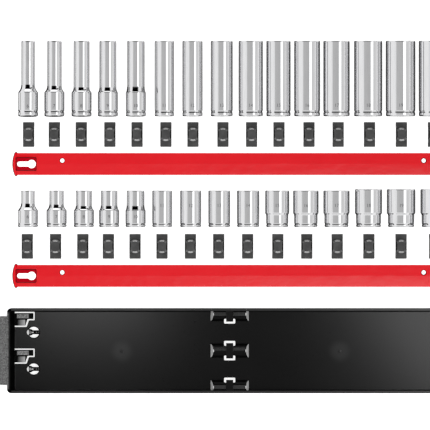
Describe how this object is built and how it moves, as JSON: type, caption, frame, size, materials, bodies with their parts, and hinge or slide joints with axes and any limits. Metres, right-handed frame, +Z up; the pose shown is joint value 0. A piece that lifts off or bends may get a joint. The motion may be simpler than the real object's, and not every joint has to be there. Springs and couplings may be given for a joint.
{
  "type": "socket set with rail",
  "caption": "Socket set laid out flat: deep and shallow chrome sockets, push-on clips, clip rails and a long storage tray with hook pegs and sprung latches.",
  "frame": {"origin": "centre of the whole layout's footprint, at bench level", "axes": "+X along the rails and the rows from the pegged end, +Y from the tray to the deep sockets, +Z up"},
  "size_m": [0.3822, 0.2972, 0.0262],
  "materials": {
    "polished_chrome": "polished",
    "red_rail": "satin gloss",
    "dark_clip_plastic": "matte",
    "black_tray_plastic": "fine satin"
  },
  "bodies": {
    "tray": {"tray": "black_tray_plastic"},
    "back_latch": {"back_latch": "black_tray_plastic"},
    "front_latch": {"front_latch": "black_tray_plastic"},
    "deep_socket_rail": {"deep_socket_rail": "red_rail"},
    "shallow_socket_rail": {"shallow_socket_rail": "red_rail"},
    "deep_socket_06mm": {"deep_socket_06mm": "polished_chrome"},
    "deep_socket_07mm": {"deep_socket_07mm": "polished_chrome"},
    "deep_socket_08mm": {"deep_socket_08mm": "polished_chrome"},
    "deep_socket_09mm": {"deep_socket_09mm": "polished_chrome"},
    "deep_socket_10mm": {"deep_socket_10mm": "polished_chrome"},
    "deep_socket_11mm": {"deep_socket_11mm": "polished_chrome"},
    "deep_socket_12mm": {"deep_socket_12mm": "polished_chrome"},
    "deep_socket_13mm": {"deep_socket_13mm": "polished_chrome"},
    "deep_socket_14mm": {"deep_socket_14mm": "polished_chrome"},
    "deep_socket_15mm": {"deep_socket_15mm": "polished_chrome"},
    "deep_socket_16mm": {"deep_socket_16mm": "polished_chrome"},
    "deep_socket_17mm": {"deep_socket_17mm": "polished_chrome"},
    "deep_socket_18mm": {"deep_socket_18mm": "polished_chrome"},
    "deep_socket_19mm": {"deep_socket_19mm": "polished_chrome"},
    "deep_socket_20mm": {"deep_socket_20mm": "polished_chrome"},
    "shallow_socket_06mm": {"shallow_socket_06mm": "polished_chrome"},
    "shallow_socket_07mm": {"shallow_socket_07mm": "polished_chrome"},
    "shallow_socket_08mm": {"shallow_socket_08mm": "polished_chrome"},
    "shallow_socket_09mm": {"shallow_socket_09mm": "polished_chrome"},
    "shallow_socket_10mm": {"shallow_socket_10mm": "polished_chrome"},
    "shallow_socket_11mm": {"shallow_socket_11mm": "polished_chrome"},
    "shallow_socket_12mm": {"shallow_socket_12mm": "polished_chrome"},
    "shallow_socket_13mm": {"shallow_socket_13mm": "polished_chrome"},
    "shallow_socket_14mm": {"shallow_socket_14mm": "polished_chrome"},
    "shallow_socket_15mm": {"shallow_socket_15mm": "polished_chrome"},
    "shallow_socket_16mm": {"shallow_socket_16mm": "polished_chrome"},
    "shallow_socket_17mm": {"shallow_socket_17mm": "polished_chrome"},
    "shallow_socket_18mm": {"shallow_socket_18mm": "polished_chrome"},
    "shallow_socket_19mm": {"shallow_socket_19mm": "polished_chrome"},
    "shallow_socket_20mm": {"shallow_socket_20mm": "polished_chrome"},
    "deep_clip_06mm": {"deep_clip_06mm": "dark_clip_plastic"},
    "deep_clip_07mm": {"deep_clip_07mm": "dark_clip_plastic"},
    "deep_clip_08mm": {"deep_clip_08mm": "dark_clip_plastic"},
    "deep_clip_09mm": {"deep_clip_09mm": "dark_clip_plastic"},
    "deep_clip_10mm": {"deep_clip_10mm": "dark_clip_plastic"},
    "deep_clip_11mm": {"deep_clip_11mm": "dark_clip_plastic"},
    "deep_clip_12mm": {"deep_clip_12mm": "dark_clip_plastic"},
    "deep_clip_13mm": {"deep_clip_13mm": "dark_clip_plastic"},
    "deep_clip_14mm": {"deep_clip_14mm": "dark_clip_plastic"},
    "deep_clip_15mm": {"deep_clip_15mm": "dark_clip_plastic"},
    "deep_clip_16mm": {"deep_clip_16mm": "dark_clip_plastic"},
    "deep_clip_17mm": {"deep_clip_17mm": "dark_clip_plastic"},
    "deep_clip_18mm": {"deep_clip_18mm": "dark_clip_plastic"},
    "deep_clip_19mm": {"deep_clip_19mm": "dark_clip_plastic"},
    "deep_clip_20mm": {"deep_clip_20mm": "dark_clip_plastic"},
    "shallow_clip_06mm": {"shallow_clip_06mm": "dark_clip_plastic"},
    "shallow_clip_07mm": {"shallow_clip_07mm": "dark_clip_plastic"},
    "shallow_clip_08mm": {"shallow_clip_08mm": "dark_clip_plastic"},
    "shallow_clip_09mm": {"shallow_clip_09mm": "dark_clip_plastic"},
    "shallow_clip_10mm": {"shallow_clip_10mm": "dark_clip_plastic"},
    "shallow_clip_11mm": {"shallow_clip_11mm": "dark_clip_plastic"},
    "shallow_clip_12mm": {"shallow_clip_12mm": "dark_clip_plastic"},
    "shallow_clip_13mm": {"shallow_clip_13mm": "dark_clip_plastic"},
    "shallow_clip_14mm": {"shallow_clip_14mm": "dark_clip_plastic"},
    "shallow_clip_15mm": {"shallow_clip_15mm": "dark_clip_plastic"}
  },
  "joints": [
    {"name": "back_latch_hinge", "type": "hinge", "parent": "tray", "child": "back_latch", "pos_m": [-0.17775, -0.08642, 0.0048], "axis": [0, 1, 0], "range_deg": [0, 10], "stiffness_Nm_per_rad": 0.05},
    {"name": "front_latch_hinge", "type": "hinge", "parent": "tray", "child": "front_latch", "pos_m": [-0.17775, -0.11742, 0.0048], "axis": [0, 1, 0], "range_deg": [0, 10], "stiffness_Nm_per_rad": 0.05},
    {"name": "deep_socket_rail_lift", "type": "slide", "parent": "tray", "child": "deep_socket_rail", "axis": [0, 0, 1], "range_m": [0, 0.06]},
    {"name": "shallow_socket_rail_lift", "type": "slide", "parent": "tray", "child": "shallow_socket_rail", "axis": [0, 0, 1], "range_m": [0, 0.06]},
    {"name": "deep_socket_06mm_lift", "type": "slide", "parent": "tray", "child": "deep_socket_06mm", "axis": [0, 0, 1], "range_m": [0, 0.06]},
    {"name": "deep_socket_07mm_lift", "type": "slide", "parent": "tray", "child": "deep_socket_07mm", "axis": [0, 0, 1], "range_m": [0, 0.06]},
    {"name": "deep_socket_08mm_lift", "type": "slide", "parent": "tray", "child": "deep_socket_08mm", "axis": [0, 0, 1], "range_m": [0, 0.06]},
    {"name": "deep_socket_09mm_lift", "type": "slide", "parent": "tray", "child": "deep_socket_09mm", "axis": [0, 0, 1], "range_m": [0, 0.06]},
    {"name": "deep_socket_10mm_lift", "type": "slide", "parent": "tray", "child": "deep_socket_10mm", "axis": [0, 0, 1], "range_m": [0, 0.06]},
    {"name": "deep_socket_11mm_lift", "type": "slide", "parent": "tray", "child": "deep_socket_11mm", "axis": [0, 0, 1], "range_m": [0, 0.06]},
    {"name": "deep_socket_12mm_lift", "type": "slide", "parent": "tray", "child": "deep_socket_12mm", "axis": [0, 0, 1], "range_m": [0, 0.06]},
    {"name": "deep_socket_13mm_lift", "type": "slide", "parent": "tray", "child": "deep_socket_13mm", "axis": [0, 0, 1], "range_m": [0, 0.06]},
    {"name": "deep_socket_14mm_lift", "type": "slide", "parent": "tray", "child": "deep_socket_14mm", "axis": [0, 0, 1], "range_m": [0, 0.06]},
    {"name": "deep_socket_15mm_lift", "type": "slide", "parent": "tray", "child": "deep_socket_15mm", "axis": [0, 0, 1], "range_m": [0, 0.06]},
    {"name": "deep_socket_16mm_lift", "type": "slide", "parent": "tray", "child": "deep_socket_16mm", "axis": [0, 0, 1], "range_m": [0, 0.06]},
    {"name": "deep_socket_17mm_lift", "type": "slide", "parent": "tray", "child": "deep_socket_17mm", "axis": [0, 0, 1], "range_m": [0, 0.06]},
    {"name": "deep_socket_18mm_lift", "type": "slide", "parent": "tray", "child": "deep_socket_18mm", "axis": [0, 0, 1], "range_m": [0, 0.06]},
    {"name": "deep_socket_19mm_lift", "type": "slide", "parent": "tray", "child": "deep_socket_19mm", "axis": [0, 0, 1], "range_m": [0, 0.06]},
    {"name": "deep_socket_20mm_lift", "type": "slide", "parent": "tray", "child": "deep_socket_20mm", "axis": [0, 0, 1], "range_m": [0, 0.06]},
    {"name": "shallow_socket_06mm_lift", "type": "slide", "parent": "tray", "child": "shallow_socket_06mm", "axis": [0, 0, 1], "range_m": [0, 0.06]},
    {"name": "shallow_socket_07mm_lift", "type": "slide", "parent": "tray", "child": "shallow_socket_07mm", "axis": [0, 0, 1], "range_m": [0, 0.06]},
    {"name": "shallow_socket_08mm_lift", "type": "slide", "parent": "tray", "child": "shallow_socket_08mm", "axis": [0, 0, 1], "range_m": [0, 0.06]},
    {"name": "shallow_socket_09mm_lift", "type": "slide", "parent": "tray", "child": "shallow_socket_09mm", "axis": [0, 0, 1], "range_m": [0, 0.06]},
    {"name": "shallow_socket_10mm_lift", "type": "slide", "parent": "tray", "child": "shallow_socket_10mm", "axis": [0, 0, 1], "range_m": [0, 0.06]},
    {"name": "shallow_socket_11mm_lift", "type": "slide", "parent": "tray", "child": "shallow_socket_11mm", "axis": [0, 0, 1], "range_m": [0, 0.06]},
    {"name": "shallow_socket_12mm_lift", "type": "slide", "parent": "tray", "child": "shallow_socket_12mm", "axis": [0, 0, 1], "range_m": [0, 0.06]},
    {"name": "shallow_socket_13mm_lift", "type": "slide", "parent": "tray", "child": "shallow_socket_13mm", "axis": [0, 0, 1], "range_m": [0, 0.06]},
    {"name": "shallow_socket_14mm_lift", "type": "slide", "parent": "tray", "child": "shallow_socket_14mm", "axis": [0, 0, 1], "range_m": [0, 0.06]},
    {"name": "shallow_socket_15mm_lift", "type": "slide", "parent": "tray", "child": "shallow_socket_15mm", "axis": [0, 0, 1], "range_m": [0, 0.06]},
    {"name": "shallow_socket_16mm_lift", "type": "slide", "parent": "tray", "child": "shallow_socket_16mm", "axis": [0, 0, 1], "range_m": [0, 0.06]},
    {"name": "shallow_socket_17mm_lift", "type": "slide", "parent": "tray", "child": "shallow_socket_17mm", "axis": [0, 0, 1], "range_m": [0, 0.06]},
    {"name": "shallow_socket_18mm_lift", "type": "slide", "parent": "tray", "child": "shallow_socket_18mm", "axis": [0, 0, 1], "range_m": [0, 0.06]},
    {"name": "shallow_socket_19mm_lift", "type": "slide", "parent": "tray", "child": "shallow_socket_19mm", "axis": [0, 0, 1], "range_m": [0, 0.06]},
    {"name": "shallow_socket_20mm_lift", "type": "slide", "parent": "tray", "child": "shallow_socket_20mm", "axis": [0, 0, 1], "range_m": [0, 0.06]},
    {"name": "deep_clip_06mm_lift", "type": "slide", "parent": "tray", "child": "deep_clip_06mm", "axis": [0, 0, 1], "range_m": [0, 0.06]},
    {"name": "deep_clip_07mm_lift", "type": "slide", "parent": "tray", "child": "deep_clip_07mm", "axis": [0, 0, 1], "range_m": [0, 0.06]},
    {"name": "deep_clip_08mm_lift", "type": "slide", "parent": "tray", "child": "deep_clip_08mm", "axis": [0, 0, 1], "range_m": [0, 0.06]},
    {"name": "deep_clip_09mm_lift", "type": "slide", "parent": "tray", "child": "deep_clip_09mm", "axis": [0, 0, 1], "range_m": [0, 0.06]},
    {"name": "deep_clip_10mm_lift", "type": "slide", "parent": "tray", "child": "deep_clip_10mm", "axis": [0, 0, 1], "range_m": [0, 0.06]},
    {"name": "deep_clip_11mm_lift", "type": "slide", "parent": "tray", "child": "deep_clip_11mm", "axis": [0, 0, 1], "range_m": [0, 0.06]},
    {"name": "deep_clip_12mm_lift", "type": "slide", "parent": "tray", "child": "deep_clip_12mm", "axis": [0, 0, 1], "range_m": [0, 0.06]},
    {"name": "deep_clip_13mm_lift", "type": "slide", "parent": "tray", "child": "deep_clip_13mm", "axis": [0, 0, 1], "range_m": [0, 0.06]},
    {"name": "deep_clip_14mm_lift", "type": "slide", "parent": "tray", "child": "deep_clip_14mm", "axis": [0, 0, 1], "range_m": [0, 0.06]},
    {"name": "deep_clip_15mm_lift", "type": "slide", "parent": "tray", "child": "deep_clip_15mm", "axis": [0, 0, 1], "range_m": [0, 0.06]},
    {"name": "deep_clip_16mm_lift", "type": "slide", "parent": "tray", "child": "deep_clip_16mm", "axis": [0, 0, 1], "range_m": [0, 0.06]},
    {"name": "deep_clip_17mm_lift", "type": "slide", "parent": "tray", "child": "deep_clip_17mm", "axis": [0, 0, 1], "range_m": [0, 0.06]},
    {"name": "deep_clip_18mm_lift", "type": "slide", "parent": "tray", "child": "deep_clip_18mm", "axis": [0, 0, 1], "range_m": [0, 0.06]},
    {"name": "deep_clip_19mm_lift", "type": "slide", "parent": "tray", "child": "deep_clip_19mm", "axis": [0, 0, 1], "range_m": [0, 0.06]},
    {"name": "deep_clip_20mm_lift", "type": "slide", "parent": "tray", "child": "deep_clip_20mm", "axis": [0, 0, 1], "range_m": [0, 0.06]},
    {"name": "shallow_clip_06mm_lift", "type": "slide", "parent": "tray", "child": "shallow_clip_06mm", "axis": [0, 0, 1], "range_m": [0, 0.06]},
    {"name": "shallow_clip_07mm_lift", "type": "slide", "parent": "tray", "child": "shallow_clip_07mm", "axis": [0, 0, 1], "range_m": [0, 0.06]},
    {"name": "shallow_clip_08mm_lift", "type": "slide", "parent": "tray", "child": "shallow_clip_08mm", "axis": [0, 0, 1], "range_m": [0, 0.06]},
    {"name": "shallow_clip_09mm_lift", "type": "slide", "parent": "tray", "child": "shallow_clip_09mm", "axis": [0, 0, 1], "range_m": [0, 0.06]},
    {"name": "shallow_clip_10mm_lift", "type": "slide", "parent": "tray", "child": "shallow_clip_10mm", "axis": [0, 0, 1], "range_m": [0, 0.06]},
    {"name": "shallow_clip_11mm_lift", "type": "slide", "parent": "tray", "child": "shallow_clip_11mm", "axis": [0, 0, 1], "range_m": [0, 0.06]},
    {"name": "shallow_clip_12mm_lift", "type": "slide", "parent": "tray", "child": "shallow_clip_12mm", "axis": [0, 0, 1], "range_m": [0, 0.06]},
    {"name": "shallow_clip_13mm_lift", "type": "slide", "parent": "tray", "child": "shallow_clip_13mm", "axis": [0, 0, 1], "range_m": [0, 0.06]},
    {"name": "shallow_clip_14mm_lift", "type": "slide", "parent": "tray", "child": "shallow_clip_14mm", "axis": [0, 0, 1], "range_m": [0, 0.06]},
    {"name": "shallow_clip_15mm_lift", "type": "slide", "parent": "tray", "child": "shallow_clip_15mm", "axis": [0, 0, 1], "range_m": [0, 0.06]}
  ]
}
